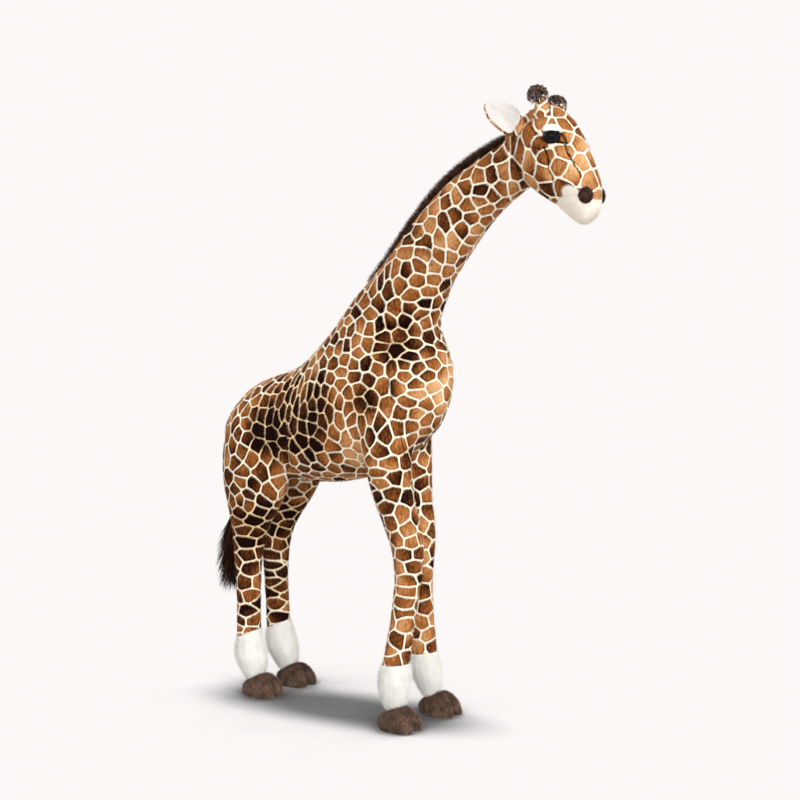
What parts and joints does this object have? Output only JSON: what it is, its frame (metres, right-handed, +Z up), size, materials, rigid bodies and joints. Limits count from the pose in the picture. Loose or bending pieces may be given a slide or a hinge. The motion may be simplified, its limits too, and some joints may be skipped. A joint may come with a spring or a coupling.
{
  "type": "standing plush giraffe",
  "caption": "Tall stuffed toy giraffe that stands on a hidden steel frame, with a long forward-leaning neck, folding ears and a tail that swings.",
  "frame": {"origin": "on the floor, under the middle of the toy's length and width", "axes": "+Z up, the giraffe faces -Y, and its right side is at -X"},
  "size_m": [0.2552, 1.0778, 1.4236],
  "materials": {
    "patterned_plush": "short plush pile, brown patches between cream lines",
    "white_plush": "white plush with a slightly longer pile",
    "cream_plush": "short cream plush",
    "hoof_plush": "dark brown plush",
    "dark_pile": "dark brown long pile",
    "eye_plastic": "glossy black",
    "washer_plastic": "matt white",
    "frame_steel": "plain drawn steel",
    "plate_board": "plain board"
  },
  "bodies": {
    "body": {"torso": "patterned_plush", "neck": "patterned_plush", "head": "patterned_plush", "front_right_leg": "patterned_plush", "front_left_leg": "patterned_plush", "rear_right_leg": "patterned_plush", "rear_left_leg": "patterned_plush", "right_horn": "patterned_plush", "left_horn": "patterned_plush", "front_right_cuff": "white_plush", "front_left_cuff": "white_plush", "rear_right_cuff": "white_plush", "rear_left_cuff": "white_plush", "right_upper_eyelid": "white_plush", "left_upper_eyelid": "white_plush", "muzzle": "cream_plush", "front_right_hoof": "hoof_plush", "front_left_hoof": "hoof_plush", "rear_right_hoof": "hoof_plush", "rear_left_hoof": "hoof_plush", "mane": "dark_pile", "right_horn_tuft": "dark_pile", "left_horn_tuft": "dark_pile", "right_nostril": "dark_pile", "left_nostril": "dark_pile", "right_eye": "eye_plastic", "left_eye": "eye_plastic", "right_eye_washer": "washer_plastic", "left_eye_washer": "washer_plastic", "front_leg_hoop": "frame_steel", "rear_leg_hoop": "frame_steel", "spine_tube": "frame_steel", "neck_rod": "frame_steel", "front_clamp": "frame_steel", "rear_clamp": "frame_steel", "head_plate": "plate_board", "front_right_foot_plate": "plate_board", "front_left_foot_plate": "plate_board", "rear_right_foot_plate": "plate_board", "rear_left_foot_plate": "plate_board"},
    "right_ear": {"right_ear_shell": "patterned_plush", "right_ear_lining": "cream_plush"},
    "left_ear": {"left_ear_shell": "patterned_plush", "left_ear_lining": "cream_plush"},
    "tail": {"tail_stalk": "patterned_plush"},
    "tail_tuft": {"tail_tuft": "dark_pile"}
  },
  "joints": [
    {"name": "right_ear_fold", "type": "hinge", "parent": "body", "child": "right_ear", "pos_m": [-0.0522, -0.366, 1.35], "axis": [0.0017, -0.6133, 0.7898], "range_deg": [-10, 30], "stiffness_Nm_per_rad": 0.3},
    {"name": "left_ear_fold", "type": "hinge", "parent": "body", "child": "left_ear", "pos_m": [0.0522, -0.366, 1.35], "axis": [0.0017, 0.6133, -0.7898], "range_deg": [-10, 30], "stiffness_Nm_per_rad": 0.3},
    {"name": "tail_swing", "type": "hinge", "parent": "body", "child": "tail", "pos_m": [0, 0.516, 0.645], "axis": [1, 0, 0], "range_deg": [0, 75]},
    {"name": "tail_tuft_sway", "type": "hinge", "parent": "tail", "child": "tail_tuft", "pos_m": [0, 0.516, 0.435], "axis": [0, 1, 0], "range_deg": [-30, 30]}
  ]
}
